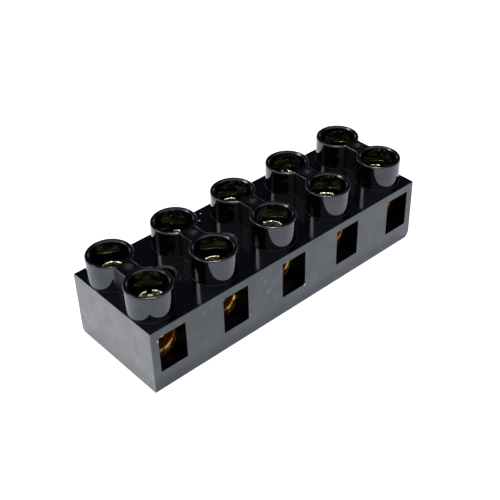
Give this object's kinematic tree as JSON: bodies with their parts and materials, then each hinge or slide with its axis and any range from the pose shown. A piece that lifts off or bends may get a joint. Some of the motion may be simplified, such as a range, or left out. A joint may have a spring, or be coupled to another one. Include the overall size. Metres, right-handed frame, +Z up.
{
  "type": "barrier terminal strip",
  "caption": "Black moulded terminal strip: round screw barrels in two rows joined by webs, square wire entries along the sides, brass inserts and slotted clamp screws.",
  "frame": {"origin": "middle of the underside, on the surface that the strip rests on", "axes": "+X along the row of poles towards the moulded end, +Y from the front wire entries to the back ones, +Z up out of the screw barrels"},
  "size_m": [0.0556, 0.0188, 0.0159],
  "materials": {
    "black_plastic": "gloss",
    "insert_brass": "machined",
    "screw_brass": "machined"
  },
  "bodies": {
    "strip": {"housing": "black_plastic", "contact_insert_1": "insert_brass", "contact_insert_2": "insert_brass", "contact_insert_3": "insert_brass", "contact_insert_4": "insert_brass", "contact_insert_5": "insert_brass"},
    "clamp_screw_front_1": {"clamp_screw_front_1": "screw_brass"},
    "clamp_screw_front_2": {"clamp_screw_front_2": "screw_brass"},
    "clamp_screw_front_3": {"clamp_screw_front_3": "screw_brass"},
    "clamp_screw_front_4": {"clamp_screw_front_4": "screw_brass"},
    "clamp_screw_front_5": {"clamp_screw_front_5": "screw_brass"},
    "clamp_screw_back_1": {"clamp_screw_back_1": "screw_brass"},
    "clamp_screw_back_2": {"clamp_screw_back_2": "screw_brass"},
    "clamp_screw_back_3": {"clamp_screw_back_3": "screw_brass"},
    "clamp_screw_back_4": {"clamp_screw_back_4": "screw_brass"},
    "clamp_screw_back_5": {"clamp_screw_back_5": "screw_brass"}
  },
  "joints": [
    {"name": "front_screw_1_travel", "type": "slide", "parent": "strip", "child": "clamp_screw_front_1", "axis": [0, 0, 1], "range_m": [-0.0012, 0.0027]},
    {"name": "front_screw_2_travel", "type": "slide", "parent": "strip", "child": "clamp_screw_front_2", "axis": [0, 0, 1], "range_m": [-0.0008, 0.0031]},
    {"name": "front_screw_3_travel", "type": "slide", "parent": "strip", "child": "clamp_screw_front_3", "axis": [0, 0, 1], "range_m": [-0.001, 0.0029]},
    {"name": "front_screw_4_travel", "type": "slide", "parent": "strip", "child": "clamp_screw_front_4", "axis": [0, 0, 1], "range_m": [-0.00085, 0.00305]},
    {"name": "front_screw_5_travel", "type": "slide", "parent": "strip", "child": "clamp_screw_front_5", "axis": [0, 0, 1], "range_m": [-0.00095, 0.00295]},
    {"name": "back_screw_1_travel", "type": "slide", "parent": "strip", "child": "clamp_screw_back_1", "axis": [0, 0, 1], "range_m": [-0.00105, 0.00285]},
    {"name": "back_screw_2_travel", "type": "slide", "parent": "strip", "child": "clamp_screw_back_2", "axis": [0, 0, 1], "range_m": [-0.0006, 0.0033]},
    {"name": "back_screw_3_travel", "type": "slide", "parent": "strip", "child": "clamp_screw_back_3", "axis": [0, 0, 1], "range_m": [-0.00075, 0.00315]},
    {"name": "back_screw_4_travel", "type": "slide", "parent": "strip", "child": "clamp_screw_back_4", "axis": [0, 0, 1], "range_m": [-0.0008, 0.0031]},
    {"name": "back_screw_5_travel", "type": "slide", "parent": "strip", "child": "clamp_screw_back_5", "axis": [0, 0, 1], "range_m": [-0.0007, 0.0032]}
  ]
}
